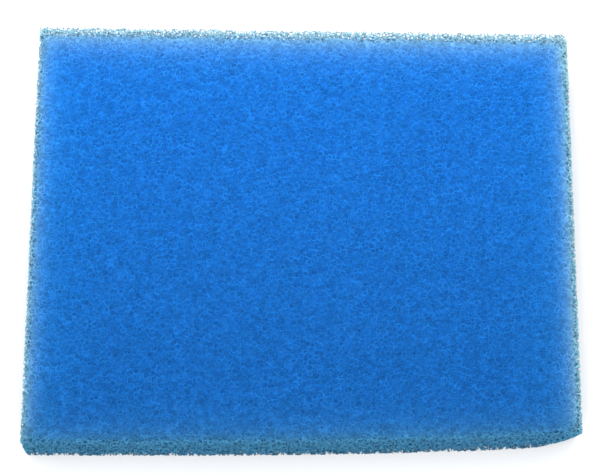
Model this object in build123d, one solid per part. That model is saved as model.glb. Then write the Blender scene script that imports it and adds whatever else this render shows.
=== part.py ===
from build123d import *
import math
import os

# A flat pad of open-cell filter foam that lies loose in the housing of a pond or aquarium filter.
# It is one piece, cut from a block. Millimetres, +Z up; the origin is at the bottom centre of its box.

# Driving dimensions
PAD_WIDTH = 250.0
PAD_DEPTH = 203.0  # at the left end, the deeper one
PAD_THICKNESS = 25.0

# The saw ran slightly out of square, so the pad is less deep at its right end.
BACK_TAPER = 4.7  # how far the back face has come forward at the right end
FRONT_SWEEP = 4.5  # how far the front face has gone back at the right end
SWEEP_START_X = -45.0  # the front face is straight up to here, then bows gently backwards
BACK_CORNER_RADIUS = 3.0  # the upright edge between the back and right faces

# The lower front corner at the right end is worn round. The wear dies out at the top face.
WORN_LENGTH = 31.0  # along the front face, measured at the base
WORN_RADIUS = 80.0  # of the worn edge in the base
CUTTER_MARGIN = 10.0  # how far the cutter stands out of the pad's faces
WEAR_TOP_GAP = 1.0  # full corner left under the top face

LEFT_X = -PAD_WIDTH / 2
RIGHT_X = PAD_WIDTH / 2
FRONT_Y = -PAD_DEPTH / 2
BACK_Y = PAD_DEPTH / 2
FRONT_RIGHT_Y = FRONT_Y + FRONT_SWEEP
BACK_RIGHT_Y = BACK_Y - BACK_TAPER


def front_y(x):
    """Where the swept part of the front face is, at a distance along the pad."""
    run = RIGHT_X - SWEEP_START_X
    radius = (run**2 + FRONT_SWEEP**2) / (2 * FRONT_SWEEP)
    return FRONT_Y + radius - math.sqrt(radius**2 - (x - SWEEP_START_X) ** 2)


def pad_outline():
    """The pad seen from above, as a face in the base plane."""
    straight_front = Line((LEFT_X, FRONT_Y), (SWEEP_START_X, FRONT_Y))
    swept_front = TangentArc((SWEEP_START_X, FRONT_Y), (RIGHT_X, FRONT_RIGHT_Y), tangent=(1, 0))
    other_sides = Polyline(
        (RIGHT_X, FRONT_RIGHT_Y),
        (RIGHT_X, BACK_RIGHT_Y),
        (LEFT_X, BACK_Y),
        (LEFT_X, FRONT_Y),
    )
    outline = make_face(straight_front + swept_front + other_sides)
    back_right = outline.vertices().sort_by_distance((RIGHT_X, BACK_RIGHT_Y, 0))[0]
    return fillet(back_right, BACK_CORNER_RADIUS)


def corner_wear():
    """What has worn away at the lower front corner: a cone that runs up to the corner of the top face."""
    start = (RIGHT_X - WORN_LENGTH, front_y(RIGHT_X - WORN_LENGTH))
    depth = WORN_RADIUS - math.sqrt(WORN_RADIUS**2 - WORN_LENGTH**2)
    end = (RIGHT_X, start[1] + depth)
    outer_x = RIGHT_X + CUTTER_MARGIN
    outer_y = FRONT_Y - CUTTER_MARGIN
    worn_edge = TangentArc(start, end, tangent=(1, 0))
    outside = Polyline(end, (outer_x, end[1]), (outer_x, outer_y), (start[0], outer_y), start)
    base = make_face(worn_edge + outside)
    tip = Vertex(RIGHT_X, FRONT_RIGHT_Y, PAD_THICKNESS - WEAR_TOP_GAP)
    return loft([base.face(), tip])


def foam_pad():
    """The pad, with its worn corner cut away."""
    return extrude(pad_outline(), PAD_THICKNESS) - corner_wear()


os.makedirs("parts", exist_ok=True)
export_step(foam_pad(), "parts/foam_pad.step")
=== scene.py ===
import itertools
import math
import bpy
import numpy as np
from mathutils import Euler, Matrix, Vector
from mathutils.kdtree import KDTree


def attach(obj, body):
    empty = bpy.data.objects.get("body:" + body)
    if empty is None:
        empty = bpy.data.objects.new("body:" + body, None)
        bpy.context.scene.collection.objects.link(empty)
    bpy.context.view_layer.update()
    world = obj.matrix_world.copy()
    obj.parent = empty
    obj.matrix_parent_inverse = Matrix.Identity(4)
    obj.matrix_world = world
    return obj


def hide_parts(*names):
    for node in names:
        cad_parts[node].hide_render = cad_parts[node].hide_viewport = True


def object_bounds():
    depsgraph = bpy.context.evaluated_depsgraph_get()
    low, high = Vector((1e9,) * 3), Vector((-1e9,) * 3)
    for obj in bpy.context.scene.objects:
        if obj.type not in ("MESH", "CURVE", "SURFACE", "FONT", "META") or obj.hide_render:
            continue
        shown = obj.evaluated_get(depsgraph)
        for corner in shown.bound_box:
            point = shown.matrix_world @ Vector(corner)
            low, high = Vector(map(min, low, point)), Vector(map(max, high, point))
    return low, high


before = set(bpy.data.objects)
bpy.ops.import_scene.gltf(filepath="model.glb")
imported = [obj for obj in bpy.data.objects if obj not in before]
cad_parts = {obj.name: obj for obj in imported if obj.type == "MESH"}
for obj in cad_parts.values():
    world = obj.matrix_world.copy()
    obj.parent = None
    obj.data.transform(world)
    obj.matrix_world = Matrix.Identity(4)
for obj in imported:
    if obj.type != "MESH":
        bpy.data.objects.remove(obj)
cad_low, cad_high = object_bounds()

# A pad of open-cell filter foam. The foam is a real network of struts: the edges of the cells of a random
# foam, cut off at the faces of the CAD pad. The network fills a skin under each face. Below it lies a core
# with a pitted surface, which stands for the cells too deep to see. Everything is in metres.

MM = 0.001
PAD_NODE = "foam_pad"
SLOT = "filter_foam"
SEED = 7

TINY = 1e-9  # added to lengths, so that none is 0 where it divides

# The cells. They are worked out for one block, which then repeats through the pad.
CELL_SPACING = 2.45 * MM  # cube root of a cell's volume
CELLS_PER_SIDE = 12
BLOCK_SIDE = CELLS_PER_SIDE * CELL_SPACING
BLOCK_ANGLES = (0.52, 0.37, 0.81)  # radians; the blocks stand askew, so that no face cuts them all alike
BLOCK_TURN = np.array(Euler(BLOCK_ANGLES).to_matrix())
STRAY = 0.65 * MM  # how far each wave moves the cells off the regular blocks
STRAY_LENGTHS = (61 * MM, 83 * MM, 71 * MM)

# The struts
SHORTEST_STRUT = 0.55 * MM
STRUT_RADIUS = 0.17 * MM  # from a strut's axis to its three edges
RADIUS_RANGE = (0.85, 1.2)  # thinnest and stoutest, as shares of that
FRAY = 0.85  # how much stouter the struts are at each side and the base, where the saw has crushed them
FRAY_FADE = 2.0 * MM
COSINE_RANGE = (-0.98, 0.9)  # limits for the angle between two struts, so that no point runs far out
ROOM_SHARE = 0.42  # how far along its struts a corner may reach, as a share of their length
STUB = 0.001  # a strut cut off at less than this share of its length is only a cap

# How deep the network goes under each of the faces, and the core under it
FACES = ("top", "base", "left", "right", "front", "back")
SKINS = np.array([2.8, 1.2, 1.9, 2.0, 2.1, 3.8]) * MM
CORE_OVERLAP = 0.5 * MM  # how far the core's ridges stand up into the skin
PIT_DEPTH = 1.5 * MM
PIT_RISE = 0.75 * CELL_SPACING  # a pit is deepest where its cell's centre is nearer by this than any other
CORE_STEP = 1.1 * MM  # side of the core's quads

# The network is made in pieces of under 200,000 triangles, side by side along the pad.
TILES = {"top": 6, "base": 4, "left": 1, "right": 1, "front": 1, "back": 2}
PIECES = [(face, tile) for face in FACES for tile in range(TILES[face])]

# The colours, and the light and shade painted into them
COLOUR_ATTRIBUTE = "colour_with_painted_light"
BLUE = np.array([0.008, 0.192, 0.645])
PAINTED_SIDE_SHADE = np.array([0.055, 0.225, 0.35])  # painted shade: the cut sides more grey and darker, as they lie in shade
PAINTED_RIM_GLOW = np.array([0.35, 0.62, 0.7])  # painted light: the rims lighter and whiter, where light shines through the thin foam
PAINTED_FRONT_TO_BACK_SHADING = 0.19  # painted light and shade: the share by which the foam is darker at the pad's front, and lighter at its back, as the light falls from behind
AZURE_LIGHT = np.array([1.0, 0.45, 0.16])  # how much red, green and blue gain from light let in at a side
DEEP_LIGHT = np.array([0.1, 0.17, 0.15])  # the same at the front, where less gets in
SIDE_LIGHTS = {"left": AZURE_LIGHT, "right": AZURE_LIGHT, "back": AZURE_LIGHT, "front": DEEP_LIGHT}
SIDE_LIGHT_FADE = 12 * MM
CORE_SHADE = 0.77  # the core's colour as a share of the foam's: painted shade of the deep cells, which little light reaches
RIM_LIGHT = 0.45  # painted light: how much is added to that share along the rims
RIM_LIGHT_FADE = 5 * MM
BASE_SHADE = 0.42  # painted shade: how much darker the foam is just above the floor, where it sits in shade
BASE_SHADE_FADE = 4 * MM
DOWN_SHARE = 0.3  # how fast the painted light of the rims fades down a side, against how fast it fades inwards
SIDE_SHADE_SPREAD = 0.2  # the share of the height below the top that is added to the length of the painted side shade's fade
SIDES = {
    # how strong the painted light of the rim is, how far in it stays so, and over what length that fades;
    # then how strong the painted shade of the side is, and over what length that fades
    "left": (0.9, 0.8 * MM, 2.6 * MM, 0.6, 1.5 * MM),
    "right": (0.95, 1.5 * MM, 2.8 * MM, 0.55, 1.4 * MM),
    "back": (0.95, 2.5 * MM, 4.6 * MM, 0.65, 1.5 * MM),
    "front": (0.04, 0.0 * MM, 3.0 * MM, 0.9, 5.5 * MM),
}


# ---------------------------------------------------------------- the pad's faces, from the frame

LEVEL = 0.9  # least part along Z of the normals of the top and base
ENDWISE = 0.95  # least part along X of the normals of the left and right faces
NORMAL_DECIMALS = 2  # planes whose normals agree to so many decimals,
OFFSET_STEP = 0.1 * MM  # and whose offsets agree to this, count as one
PLANE_SLACK = 0.03 * MM  # how far a corner of the pad may stand out from a plane of it
BATCH = 50_000  # points tested at a time, to save memory


def face_of(normal):
    """The number in FACES of the face that a plane with this outward normal belongs to."""
    x, y, z = normal
    if abs(z) > LEVEL:
        return FACES.index("top" if z > 0 else "base")
    if abs(x) > ENDWISE:
        return FACES.index("left" if x < 0 else "right")
    return FACES.index("front" if y < 0 else "back")


def pad_planes():
    """The planes of the CAD pad, which is convex: outward normals, offsets along them, and their faces.
    Each face's largest plane comes last of its planes."""
    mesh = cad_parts[PAD_NODE].data
    corners = np.array([vertex.co for vertex in mesh.vertices])
    planes = {}
    for polygon in sorted(mesh.polygons, key=lambda polygon: polygon.area):
        normal = np.array(polygon.normal)
        offset = float(normal @ corners[polygon.vertices[0]])
        if (corners @ normal).max() < offset + PLANE_SLACK:  # not so for a sliver, whose normal is poor
            key = tuple(np.round(normal, NORMAL_DECIMALS)) + (round(offset / OFFSET_STEP),)
            planes.pop(key, None)
            planes[key] = (normal, offset, face_of(normal))
    normals, offsets, faces = zip(*planes.values())
    return np.array(normals), np.array(offsets), np.array(faces)


NORMALS, OFFSETS, PLANE_FACES = pad_planes()


def depths(points):
    """How far each point lies inside each of FACES, one column per face."""
    found = np.empty((len(points), len(FACES)))
    for start in range(0, len(points), BATCH):
        rows = slice(start, start + BATCH)
        inside = OFFSETS - points[rows] @ NORMALS.T
        for face in range(len(FACES)):
            found[rows, face] = inside[:, PLANE_FACES == face].min(1)
    return found


def side_depth(inside):
    """The least depth under any upright face, from the columns of depths."""
    return inside[:, FACES.index("left"):].min(1)


def in_pad(points):
    """Over 0 for a point inside the pad."""
    return depths(points).min(1)


def in_skin(points):
    """Over 0 for a point in the skin of struts, and under 0 outside the pad or down in the core."""
    inside = depths(points)
    return np.minimum(inside.min(1), (SKINS - inside).max(1))


# ---------------------------------------------------------------- one block of the foam

CROWD = 14  # neighbours that push a cell's centre
CROWD_REACH = 1.12 * CELL_SPACING  # centres nearer to each other than this push apart,
CROWD_PUSH = 0.35  # each by this share of what they lack
CORNER_REACH = 24  # neighbours that can share a corner with a cell
FLAT = 1e-12  # share of the block's volume under which four centres lie in one plane
SNUG = 1e-9  # rounding allowed where a fifth centre is as near to a corner as its own four
OPEN_PUSH = 0.25  # the share of what a short strut lacks by which each of its ends moves out, each time


def nearest(seeds, count):
    """The nearest neighbours of each seed in a block that repeats: their numbers, blocks and offsets."""
    gap = seeds[None] - seeds[:, None]
    shift = -np.round(gap / BLOCK_SIDE)
    gap += shift * BLOCK_SIDE
    order = np.argsort((gap**2).sum(-1), axis=1)[:, 1:count + 1]
    rows = np.arange(len(seeds))[:, None]
    return order, shift[rows, order].astype(int), gap[rows, order]


def spread_seeds(rng, rounds=25):
    """Random cell centres in a block, pushed apart until the cells are of about one size."""
    seeds = rng.random((CELLS_PER_SIDE**3, 3)) * BLOCK_SIDE
    for _ in range(rounds):
        _, _, gap = nearest(seeds, CROWD)
        length = np.linalg.norm(gap, axis=-1, keepdims=True)
        push = (np.clip(CROWD_REACH - length, 0, None) / length * gap).sum(1)
        seeds = (seeds - CROWD_PUSH * push) % BLOCK_SIDE
    return seeds


def corners_of_cell(own, order, gap, triples):
    """The corners that this cell shares with three neighbours of higher number: which three, and where.
    The place is measured from the cell's own centre, and is as far from it as from the other three."""
    picks = triples[(order[triples] > own).all(1)]
    a, b, c = (gap[picks[:, k]] for k in range(3))
    squares = [(v**2).sum(1, keepdims=True) for v in (a, b, c)]
    crosses = [np.cross(b, c), np.cross(c, a), np.cross(a, b)]
    volume = 2 * (a * crosses[0]).sum(1, keepdims=True)
    volume[np.abs(volume) < FLAT * BLOCK_SIDE**3] = np.inf
    place = sum(square * cross for square, cross in zip(squares, crosses)) / volume
    clear = (gap**2).sum(1) - 2 * place @ gap.T
    empty = (clear > -SNUG * BLOCK_SIDE**2).all(1)
    return picks[empty], place[empty]


def cell_corners(seeds):
    """The points where four cells meet: the numbers of the four, in order, the blocks those are in, the
    point, and whether the last three go anticlockwise as the first sees them."""
    order, shift, gap = nearest(seeds, CORNER_REACH)
    triples = np.array(list(itertools.combinations(range(CORNER_REACH), 3)))
    found = []
    for own in range(len(seeds)):
        picks, place = corners_of_cell(own, order[own], gap[own], triples)
        names = np.insert(order[own][picks], 0, own, axis=1)
        blocks = np.insert(shift[own][picks], 0, 0, axis=1)
        rank = np.argsort(names, axis=1)
        names = np.take_along_axis(names, rank, 1)
        blocks = np.take_along_axis(blocks, rank[..., None], 1)
        centres = seeds[names] + BLOCK_SIDE * blocks
        a, b, c = (centres[:, k] - centres[:, 0] for k in (1, 2, 3))
        found.append((names, blocks, place + seeds[own], (np.cross(a, b) * c).sum(1) > 0))
    return [np.concatenate(part) for part in zip(*found)]


def cell_struts(names, blocks):
    """The edges along which three cells meet, as their two ends: (corner, which of its four it leaves out,
    and the block that puts it next to the other end)."""
    keys, ends = [], []
    for left_out in range(4):
        rest = [k for k in range(4) if k != left_out]
        base = blocks[:, rest[0]]
        steps = [blocks[:, k] - base for k in rest[1:]]
        keys.append(np.concatenate([names[:, rest]] + steps, 1))
        row = np.arange(len(names))[:, None]
        ends.append(np.concatenate([row, np.full_like(row, left_out), -base], 1))
    keys, ends = np.concatenate(keys), np.concatenate(ends)
    order = np.lexsort(keys.T)
    keys, ends = keys[order], ends[order]
    same = np.flatnonzero((keys[1:] == keys[:-1]).all(1))
    return ends[same], ends[same + 1]


def open_out(corners, one, two, rounds=12):
    """Moves the corners at both ends of each very short strut apart, as surface tension does."""
    corners = corners.copy()
    for _ in range(rounds):
        start = corners[one[:, 0]] + BLOCK_SIDE * one[:, 2:]
        gap = corners[two[:, 0]] + BLOCK_SIDE * two[:, 2:] - start
        length = np.linalg.norm(gap, axis=1, keepdims=True) + TINY
        push = OPEN_PUSH * np.clip(SHORTEST_STRUT - length, 0, None) * gap / length
        np.add.at(corners, one[:, 0], -push)
        np.add.at(corners, two[:, 0], push)
    return corners


# ---------------------------------------------------------------- the foam of the whole pad

def to_pad(points):
    """Turns points of the blocks into the pad's frame and lets them stray, so that no repeat shows."""
    placed = points @ BLOCK_TURN.T
    middle = np.array((cad_low + cad_high) / 2)
    waves = np.stack([
        np.sin(2 * math.pi * placed[:, (k + 1) % 3] / STRAY_LENGTHS[k] + k)
        + np.sin(2 * math.pi * placed[:, (k + 2) % 3] / STRAY_LENGTHS[k - 1] + 2 * k)
        for k in range(3)
    ], axis=1)
    return placed + middle + STRAY * waves


def pad_blocks():
    """The blocks that come near the pad, as steps from the middle one; a table that tells where in that
    list a block is, or -1; and the table's middle. The table has a rim of -1 for blocks beyond it."""
    half = np.array(cad_high - cad_low) / 2
    half_diagonal = math.sqrt(3) / 2 * BLOCK_SIDE
    reach = int(np.linalg.norm(half) / BLOCK_SIDE) + 2
    steps = np.arange(-reach, reach + 1)
    grid = np.stack(np.meshgrid(steps, steps, steps, indexing="ij"), -1).reshape(-1, 3)
    centre = (grid + 0.5) * BLOCK_SIDE @ BLOCK_TURN.T
    near = (np.abs(centre) < half + half_diagonal + 2 * STRAY).all(1)
    grid = grid[near]
    place = np.full((2 * reach + 3,) * 3, -1)
    place[tuple((grid + reach).T)] = np.arange(len(grid))
    return grid, place, reach


class Foam:
    """The network in the pad's skin: its points, which way round their cells go, which points are kept as
    corners of struts, the struts as pairs of points with the cell that each end leaves out, and the
    centres of the cells."""

    def __init__(self, rng):
        seeds = spread_seeds(rng)
        names, blocks, corners, handed = cell_corners(seeds)
        one, two = cell_struts(names, blocks)
        corners = open_out(corners, one, two)
        grid, place, reach = pad_blocks()
        self.points = to_pad((corners + BLOCK_SIDE * grid[:, None]).reshape(-1, 3))
        self.handed = np.tile(handed, len(grid))
        self.centres = to_pad((seeds + BLOCK_SIDE * grid[:, None]).reshape(-1, 3))
        self.kept = np.zeros(len(self.points), bool)
        near = self.near_pad(self.points)
        self.kept[near] = in_skin(self.points[near]) > 0

        rows = []
        for end in (one, two):
            step = np.clip(grid[:, None] + end[None, :, 2:] + reach, -1, 2 * reach + 1)
            block = place[tuple(np.moveaxis(step, -1, 0))]
            rows.append(np.where(block < 0, -1, block * len(corners) + end[None, :, 0]).reshape(-1))
        real = (rows[0] >= 0) & (rows[1] >= 0)
        touched = real & (self.kept[rows[0]] | self.kept[rows[1]])
        self.one, self.two = (row[touched] for row in rows)
        self.out_one, self.out_two = (np.tile(end[:, 1], len(grid))[touched] for end in (one, two))

    @staticmethod
    def near_pad(points):
        """Whether each point lies in the pad's box."""
        return ((points > np.array(cad_low)) & (points < np.array(cad_high))).all(1)

    def along(self):
        """The vectors along the four struts of each kept corner, by the cell that each leaves out."""
        found = np.zeros((len(self.points), 4, 3), np.float32)
        run = self.points[self.two] - self.points[self.one]
        found[self.one, self.out_one] = run
        found[self.two, self.out_two] = -run
        return found[self.kept].astype(float)

    def bare(self):
        """Whether each kept corner lacks each of its four struts, which is rare."""
        found = np.ones((len(self.points), 4), bool)
        found[self.one, self.out_one] = False
        found[self.two, self.out_two] = False
        return found[self.kept]


def piece_of(points):
    """The number in PIECES of the piece that each corner belongs to."""
    above_core = depths(points) - SKINS
    face = np.full(len(points), -1)
    for name in reversed(FACES):
        column = FACES.index(name)
        face[(face < 0) & (above_core[:, column] < 0)] = column
    across = (points[:, 0] - cad_low[0]) / (cad_high[0] - cad_low[0])
    piece = np.zeros(len(points), int)
    for number, (name, tile) in enumerate(PIECES):
        own_tile = np.clip((across * TILES[name]).astype(int), 0, TILES[name] - 1)
        piece[(face == FACES.index(name)) & (own_tile == tile)] = number
    return piece


# ---------------------------------------------------------------- the struts' surface

# Four cells meet at a corner, so six of their walls do too. Each wall meets the struts' surface at a sharp
# edge, so there are six points round a corner, one in each wall. A wall is named by its two cells.
WALLS = list(itertools.combinations(range(4), 2))
WALL_NUMBER = np.full((4, 4), -1)
for number, (a, b) in enumerate(WALLS):
    WALL_NUMBER[a, b] = WALL_NUMBER[b, a] = number

# A strut leaves out one cell, and its three edges lie in the walls between the other three.
STRUT_WALLS = np.array([
    [WALL_NUMBER[pair] for pair in itertools.combinations([k for k in range(4) if k != left_out], 2)]
    for left_out in range(4)
])


class Polygons:
    """Polygons with the same number of sides, and the pieces that they belong to."""

    def __init__(self):
        self.rows, self.pieces = [], []

    def add(self, rows, turned, pieces):
        """Adds polygons, the turned ones with their points in reverse order."""
        self.rows.append(np.where(turned[:, None], rows[:, ::-1], rows))
        self.pieces.append(pieces)

    def add_sides(self, start, end, turned, pieces):
        """Adds the three sides of each strut, from its three points at one end to those at the other."""
        for p, q in ((0, 1), (1, 2), (2, 0)):
            self.add(np.stack([start[:, p], start[:, q], end[:, q], end[:, p]], 1), turned, pieces)

    def finished(self):
        """All the polygons added, and their pieces."""
        return np.concatenate(self.rows), np.concatenate(self.pieces)


def turned_at(handed, cell):
    """Whether the faces that go with this cell of a corner, or with the strut that leaves it out, need
    their points in reverse order to face outwards."""
    return handed == (cell % 2 == 0)


def corner_points(foam, rng):
    """The six points round each kept corner, as one list."""
    along = foam.along()
    length = np.linalg.norm(along, axis=2, keepdims=True) + TINY
    unit = along / length
    corner = foam.points[foam.kept]
    radius = STRUT_RADIUS * rng.uniform(*RADIUS_RANGE, len(corner))
    crushed = np.exp(-depths(corner)[:, FACES.index("base"):] / FRAY_FADE).sum(1)
    radius *= 1 + FRAY * crushed
    found = np.empty((len(corner), len(WALLS), 3))
    for number, wall in enumerate(WALLS):
        k, m = (j for j in range(4) if j not in wall)
        between = unit[:, k] + unit[:, m]
        between /= np.linalg.norm(between, axis=1, keepdims=True) + TINY
        cosine = np.clip((unit[:, k] * unit[:, m]).sum(1), *COSINE_RANGE)
        half_sine = np.sqrt((1 - cosine) / 2)
        half_cosine = np.sqrt((1 + cosine) / 2)
        room = ROOM_SHARE * np.minimum(length[:, k, 0], length[:, m, 0])
        reach = np.minimum(radius / half_sine, room / half_cosine)
        found[:, number] = corner + reach[:, None] * between
    flat = found.reshape(-1, 3)
    out = np.flatnonzero(in_pad(flat) < 0)
    home = corner[out // len(WALLS)]
    step = flat[out] - home
    flat[out] = home + cut_back(home, step, in_pad)[:, None] * step
    return flat


def cut_back(start, step, test, rounds=14):
    """How far along step, from 0 to 1, each line from start stays where test is over 0."""
    low, high = np.zeros(len(start)), np.ones(len(start))
    whole = test(start + step) > 0
    for _ in range(rounds):
        middle = (low + high) / 2
        good = test(start + middle[:, None] * step) > 0
        low, high = np.where(good, middle, low), np.where(good, high, middle)
    return np.where(whole, 1.0, low)


def corner_faces(foam, piece, triangles):
    """The small face of each corner towards each of its four cells, and a cap where it lacks a strut."""
    first = len(WALLS) * np.arange(len(piece))[:, None]
    bare = foam.bare()
    for cell in range(4):
        turned = turned_at(foam.handed[foam.kept], cell)
        towards = [WALL_NUMBER[cell, other] for other in range(4) if other != cell]
        triangles.add(first + towards, turned, piece)
        lacks = bare[:, cell]
        triangles.add(first[lacks] + STRUT_WALLS[cell], turned[lacks], piece[lacks])


def cut_struts(start, step, leaves, points):
    """The struts that end between corners: how far their three edges go from start along step, and the
    points where they end. Those that leave the skin end there, and the others go half way."""
    share = np.full(start.shape, 0.5)
    step = np.repeat(step[:, None], 3, axis=1)
    lines = points[start[leaves]].reshape(-1, 3), step[leaves].reshape(-1, 3)
    share[leaves] = cut_back(*lines, in_skin).reshape(-1, 3)
    return share, points[start] + share[..., None] * step


def strut_mesh(foam, rng):
    """The vertices of the whole network, its triangles with their pieces, and its quads with theirs."""
    number = np.full(len(foam.points), -1)
    number[foam.kept] = np.arange(foam.kept.sum())
    piece = piece_of(foam.points[foam.kept])
    points = corner_points(foam, rng)
    triangles, quads = Polygons(), Polygons()
    corner_faces(foam, piece, triangles)

    # the struts that run from corner to corner in one piece
    one, two = number[foam.one], number[foam.two]
    ends_one = len(WALLS) * one[:, None] + STRUT_WALLS[foam.out_one]
    ends_two = len(WALLS) * two[:, None] + STRUT_WALLS[foam.out_two]
    turned_one = turned_at(foam.handed[foam.one], foam.out_one)
    turned_two = turned_at(foam.handed[foam.two], foam.out_two)
    whole = (one >= 0) & (two >= 0)
    whole[whole] = piece[one[whole]] == piece[two[whole]]
    quads.add_sides(ends_one[whole], ends_two[whole], turned_one[whole], piece[one[whole]])

    # the others are cut where they leave the pad or the skin, or half way to the next piece, and capped
    run = foam.points[foam.two] - foam.points[foam.one]
    halves = (one, two, ends_one, run, turned_one), (two, one, ends_two, -run, turned_two)
    for near, far, ends, step, turned in halves:
        cut = ~whole & (near >= 0)
        start, turned, owner = ends[cut], turned[cut], piece[near[cut]]
        share, tips = cut_struts(start, step[cut], far[cut] < 0, points)
        tip_rows = len(points) + np.arange(start.size).reshape(-1, 3)
        points = np.concatenate([points, tips.reshape(-1, 3)])
        long = share.max(1) > STUB
        quads.add_sides(start[long], tip_rows[long], turned[long], owner[long])
        triangles.add(np.where(long[:, None], tip_rows, start), turned, owner)
    return points, *triangles.finished(), *quads.finished()


# ---------------------------------------------------------------- meshes

def colours_with_painted_light(points):
    """The colour of the foam at each point: blue, with painted light and shade: light let in at the sides,
    whitish rims, more grey shaded sides, lighter to the back, darker to the front and just above the floor.
    """
    inside = depths(points)
    below_top = inside[:, FACES.index("top")]
    light = np.zeros((len(points), 3))
    for face, tint in SIDE_LIGHTS.items():
        depth = inside[:, FACES.index(face)]
        light = np.maximum(light, tint * np.exp(-depth / SIDE_LIGHT_FADE)[:, None])
    # painted light and shade: lighter where light is let in at each side, darker to the front and lighter
    # to the back of the pad
    colours = BLUE * (1 + light) * (1 + PAINTED_FRONT_TO_BACK_SHADING * points[:, 1:2] / cad_high[1])
    for face, (glow_strength, full, fade, shade_strength, shade_fade) in SIDES.items():
        depth = inside[:, FACES.index(face)]
        # painted light: the rims whiter where light shines through the thin foam, fading inwards and down
        # the sides
        painted_glow = glow_strength * np.exp(-np.clip(depth + DOWN_SHARE * below_top - full, 0, None) / fade)
        colours += painted_glow[:, None] * (PAINTED_RIM_GLOW - colours)
        # painted shade: the cut sides more grey and darker, reaching further in lower down
        painted_shade = shade_strength * np.exp(-depth / (shade_fade + SIDE_SHADE_SPREAD * below_top))
        colours += painted_shade[:, None] * (PAINTED_SIDE_SHADE - colours)
    # painted shade just above the floor
    return colours * (1 - BASE_SHADE * np.exp(-inside[:, FACES.index("base")] / BASE_SHADE_FADE))[:, None]


def core_shade(points):
    """How dark the core is at each point, as painted shade: it is lighter along the rims, as painted light
    where light gets in.
    """
    inside = depths(points)
    from_rim = side_depth(inside) + inside[:, FACES.index("top")] / 2
    return CORE_SHADE + RIM_LIGHT * np.exp(-from_rim / RIM_LIGHT_FADE)


def make_piece(name, points, colours, triangles, quads, material):
    """A new object of those polygons and of the points that they use, in their colours."""
    corners = np.concatenate([triangles.ravel(), quads.ravel()])
    used, places = np.unique(corners, return_inverse=True)
    starts = np.concatenate([np.arange(len(triangles)) * 3, triangles.size + np.arange(len(quads)) * 4])
    mesh = bpy.data.meshes.new(name)
    mesh.vertices.add(len(used))
    mesh.vertices.foreach_set("co", points[used].astype(np.float32).ravel())
    mesh.loops.add(len(places))
    mesh.loops.foreach_set("vertex_index", places.astype(np.int32).ravel())
    mesh.polygons.add(len(starts))
    mesh.polygons.foreach_set("loop_start", starts.astype(np.int32))
    mesh.update(calc_edges=True)
    mesh.shade_smooth()
    attribute = mesh.attributes.new(COLOUR_ATTRIBUTE, "FLOAT_COLOR", "POINT")
    opaque = np.insert(colours[used], 3, 1, axis=1)
    attribute.data.foreach_set("color", opaque.astype(np.float32).ravel())
    mesh.materials.append(material)
    piece = bpy.data.objects.new(name, mesh)
    bpy.context.scene.collection.objects.link(piece)
    return piece


def strut_pieces(foam, rng, material):
    """The network of struts, as one object for each of PIECES."""
    points, triangles, triangle_pieces, quads, quad_pieces = strut_mesh(foam, rng)
    colours = colours_with_painted_light(points)
    made = []
    for number, (face, tile) in enumerate(PIECES):
        name = f"foam_{face}_{tile + 1}" if TILES[face] > 1 else f"foam_{face}"
        own = triangles[triangle_pieces == number], quads[quad_pieces == number]
        made.append(make_piece(name, points, colours, *own, material))
    return made


# ---------------------------------------------------------------- the core

def core_grid():
    """A closed box of small quads, as large as the pad's box without its skins: vertices and quads."""
    skin = dict(zip(FACES, SKINS - CORE_OVERLAP))
    low = np.array(cad_low) + [skin["left"], skin["front"], skin["base"]]
    high = np.array(cad_high) - [skin["right"], skin["back"], skin["top"]]
    size = high - low
    counts = np.round(size / CORE_STEP).astype(int)
    number = np.full(tuple(counts + 1), -1)
    surface = np.zeros_like(number, bool)
    surface[[0, -1]] = surface[:, [0, -1]] = surface[:, :, [0, -1]] = True
    number[surface] = np.arange(surface.sum())
    vertices = low + np.stack(np.nonzero(surface), 1) * size / counts
    quads = []
    for axis, end in itertools.product(range(3), (0, -1)):
        sheet = np.take(number, end, axis)
        rows = np.stack([sheet[:-1, :-1], sheet[1:, :-1], sheet[1:, 1:], sheet[:-1, 1:]], -1).reshape(-1, 4)
        inward = (end == 0) != (axis == 1)
        quads.append(rows[:, ::-1] if inward else rows)
    return vertices, np.concatenate(quads)


def sink(vertices, skins, rounds=4):
    """Pushes each vertex in until it is at least that far under every face."""
    face_normals = np.array([NORMALS[PLANE_FACES == k][-1] for k in range(len(FACES))])
    for _ in range(rounds):
        short = np.clip(skins - depths(vertices), 0, None)
        vertices = vertices - short @ face_normals
    return vertices


def core_piece(foam, material):
    """The core, which is hollowed out under each cell and keeps a ridge along the walls between cells."""
    vertices, quads = core_grid()
    vertices = sink(vertices, SKINS - CORE_OVERLAP)
    centres = foam.centres[foam.near_pad(foam.centres)]
    tree = KDTree(len(centres))
    for number, centre in enumerate(centres):
        tree.insert(centre, number)
    tree.balance()
    off_wall = np.empty(len(vertices))
    for number, vertex in enumerate(vertices):
        (_, _, first), (_, _, second) = tree.find_n(vertex, 2)
        off_wall[number] = second - first
    hollow = np.clip(off_wall / PIT_RISE, 0, 1)
    hollow = hollow**2 * (3 - 2 * hollow)  # a smooth step
    vertices = sink(vertices, SKINS - CORE_OVERLAP + PIT_DEPTH * hollow[:, None])
    # painted shade of the deep cells that little light reaches, and painted light along the rims
    colours = colours_with_painted_light(vertices) * core_shade(vertices)[:, None]
    return make_piece("foam_core", vertices, colours, np.empty((0, 3), int), quads, material)


# ---------------------------------------------------------------- materials

NOISE_RANGE = (0.3, 0.7)  # the noise is seldom outside this
SPECULAR = 0.1
MOTTLE_SCALE = 260  # noise per metre: patches as large as a cell or two
MOTTLE_RANGE = (0.82, 1.13)
GLOSS_SCALE = 2500  # finer than a strut is long
ROUGHNESS_RANGE = (0.5, 0.75)
GRAIN_SCALE = 4000
GRAIN_STRENGTH = 0.3
GRAIN_HEIGHT = 0.05 * MM


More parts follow.
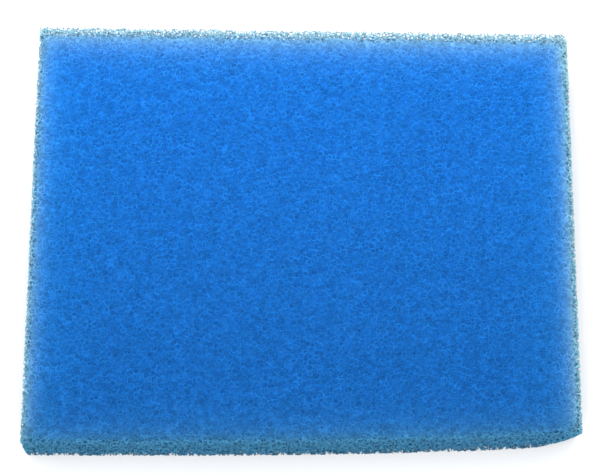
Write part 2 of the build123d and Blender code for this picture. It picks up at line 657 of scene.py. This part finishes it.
def foam_material():
    """Foam in the colours of its mesh, with their painted light and shade, mottled a little darker and
    lighter, dull and slightly rough.
    """
    material = bpy.data.materials.new(SLOT)
    material.use_nodes = True
    nodes, links = material.node_tree.nodes, material.node_tree.links
    shader = nodes["Principled BSDF"]
    shader.inputs["Specular IOR Level"].default_value = SPECULAR
    where = nodes.new("ShaderNodeTexCoord")

    def noise(scale):
        """Noise of that many waves to the metre."""
        node = nodes.new("ShaderNodeTexNoise")
        node.inputs["Scale"].default_value = scale
        links.new(where.outputs["Object"], node.inputs["Vector"])
        return node.outputs["Fac"]

    def spread(value, new_range):
        """Noise stretched to a new range."""
        node = nodes.new("ShaderNodeMapRange")
        node.inputs["From Min"].default_value, node.inputs["From Max"].default_value = NOISE_RANGE
        node.inputs["To Min"].default_value, node.inputs["To Max"].default_value = new_range
        links.new(value, node.inputs["Value"])
        return node.outputs["Result"]

    colour = nodes.new("ShaderNodeAttribute")
    colour.attribute_name = COLOUR_ATTRIBUTE
    shade = nodes.new("ShaderNodeVectorMath")
    shade.operation = "SCALE"
    links.new(colour.outputs["Color"], shade.inputs[0])
    links.new(spread(noise(MOTTLE_SCALE), MOTTLE_RANGE), shade.inputs["Scale"])
    links.new(shade.outputs["Vector"], shader.inputs["Base Color"])
    links.new(spread(noise(GLOSS_SCALE), ROUGHNESS_RANGE), shader.inputs["Roughness"])
    bump = nodes.new("ShaderNodeBump")
    bump.inputs["Strength"].default_value = GRAIN_STRENGTH
    bump.inputs["Distance"].default_value = GRAIN_HEIGHT
    links.new(noise(GRAIN_SCALE), bump.inputs["Height"])
    links.new(bump.outputs["Normal"], shader.inputs["Normal"])
    return material


# ---------------------------------------------------------------- floor, light and camera

FOCAL_LENGTH = 132.0  # in millimetres, as is the sensor's width
SENSOR_WIDTH = 36.0
CAMERA_AZIMUTH, CAMERA_ELEVATION, CAMERA_ROLL = 2.5, 70.4, -2.41  # degrees, from the front and the floor
CAMERA_DISTANCE = 1.0208
CAMERA_NEAR = 0.01
TARGET = Vector((-0.98 * MM, -0.85 * MM, 12.5 * MM))
FLOOR_HALF = 6.0
FLOOR_COLOUR = (0.78, 0.78, 0.78, 1)
FLOOR_ROUGHNESS = 0.9
SKY_COLOUR = (1, 1, 1, 1)
SKY_STRENGTH = 1.3
LAMPS = {
    # where it stands, the side of its square, and its power
    "back_light": ((-0.05, 0.45, 0.4), 0.5, 2.6),
    "front_light": ((0.0, -0.9, 1.1), 1.0, 10),
}


def look_at(place, target, roll=0.0):
    """The matrix of a camera or lamp at place that points at target, turned by roll degrees."""
    turn = (Vector(target) - Vector(place)).to_track_quat("-Z", "Y").to_matrix()
    return Matrix.Translation(place) @ (turn @ Matrix.Rotation(math.radians(roll), 3, "Z")).to_4x4()


def add_camera():
    """The camera, which looks at the middle of the pad from nearly above."""
    azimuth, elevation = math.radians(CAMERA_AZIMUTH), math.radians(CAMERA_ELEVATION)
    level = Vector((math.sin(azimuth), -math.cos(azimuth), 0)) * math.cos(elevation)
    back_off = level + Vector((0, 0, math.sin(elevation)))
    camera = bpy.data.objects.new("camera", bpy.data.cameras.new("camera"))
    camera.data.lens = FOCAL_LENGTH
    camera.data.sensor_width = SENSOR_WIDTH
    camera.data.clip_start = CAMERA_NEAR
    camera.matrix_world = look_at(TARGET + back_off * CAMERA_DISTANCE, TARGET, CAMERA_ROLL)
    bpy.context.scene.collection.objects.link(camera)
    bpy.context.scene.camera = camera


def add_floor():
    """A plain pale floor, which is not part of the object."""
    mesh = bpy.data.meshes.new("floor")
    corners = [(-FLOOR_HALF, -FLOOR_HALF, 0), (FLOOR_HALF, -FLOOR_HALF, 0)]
    corners += [(-x, -y, 0) for x, y, _ in corners]
    mesh.from_pydata(corners, [], [(0, 1, 2, 3)])
    paint = bpy.data.materials.new("floor")
    paint.use_nodes = True
    shader = paint.node_tree.nodes["Principled BSDF"]
    shader.inputs["Base Color"].default_value = FLOOR_COLOUR
    shader.inputs["Roughness"].default_value = FLOOR_ROUGHNESS
    mesh.materials.append(paint)
    floor = bpy.data.objects.new("floor", mesh)
    bpy.context.scene.collection.objects.link(floor)


def add_light(name, place, size, power):
    """A square lamp that points at the pad and doesn't show itself in any view."""
    light = bpy.data.objects.new(name, bpy.data.lights.new(name, "AREA"))
    light.data.shape = "SQUARE"
    light.data.size = size
    light.data.energy = power
    light.matrix_world = look_at(place, (0, 0, 0))
    light.visible_camera = False
    bpy.context.scene.collection.objects.link(light)


def add_studio():
    """A white sky and two soft lamps."""
    world = bpy.data.worlds.new("studio")
    world.use_nodes = True
    sky = world.node_tree.nodes["Background"]
    sky.inputs["Color"].default_value = SKY_COLOUR
    sky.inputs["Strength"].default_value = SKY_STRENGTH
    bpy.context.scene.world = world
    bpy.context.scene.view_settings.view_transform = "Standard"
    for name, (place, size, power) in LAMPS.items():
        add_light(name, place, size, power)


# ---------------------------------------------------------------- the whole scene

add_camera()
add_floor()
add_studio()

rng = np.random.default_rng(SEED)
foam = Foam(rng)
material = foam_material()
pieces = strut_pieces(foam, rng, material) + [core_piece(foam, material)]
for piece in pieces:
    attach(piece, "root")
    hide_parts(PAD_NODE)
